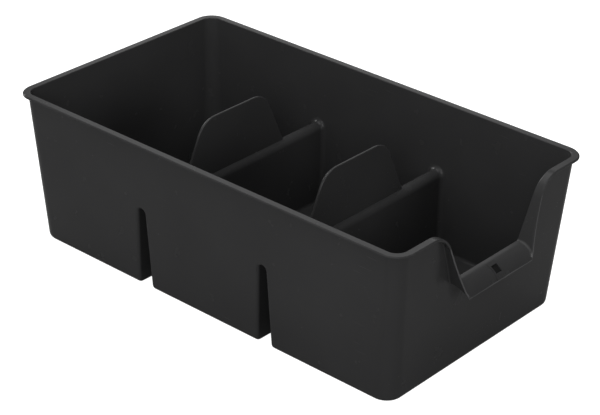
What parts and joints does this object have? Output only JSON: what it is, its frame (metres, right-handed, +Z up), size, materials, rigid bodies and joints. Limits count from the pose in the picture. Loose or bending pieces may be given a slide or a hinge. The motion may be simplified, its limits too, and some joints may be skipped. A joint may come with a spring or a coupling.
{
  "type": "divided storage bin",
  "caption": "Open plastic storage bin with tapered walls, folded cross dividers with upright tabs, an out-turned rim and a scooped front end with a rolled pull lip.",
  "frame": {"origin": "on the surface that the bin stands on, under the middle of its overall extent", "axes": "+Z up, the scooped front end with the pull lip faces -Y, the long sides face -X and +X"},
  "size_m": [0.217, 0.3869, 0.1255],
  "materials": {
    "black_plastic": "injection-moulded black polypropylene, semi-gloss, with a very fine grain and light handling scuffs"
  },
  "bodies": {
    "root": {"front_floor": "black_plastic", "middle_floor": "black_plastic", "rear_floor": "black_plastic", "front_wall": "black_plastic", "rear_wall": "black_plastic", "left_side_wall": "black_plastic", "right_side_wall": "black_plastic", "left_front_panel": "black_plastic", "left_middle_panel": "black_plastic", "left_rear_panel": "black_plastic", "right_front_panel": "black_plastic", "right_middle_panel": "black_plastic", "right_rear_panel": "black_plastic", "front_divider": "black_plastic", "rear_divider": "black_plastic", "rim": "black_plastic", "scoop_lip": "black_plastic", "front_divider_tab": "black_plastic", "rear_divider_tab": "black_plastic"}
  },
  "joints": []
}
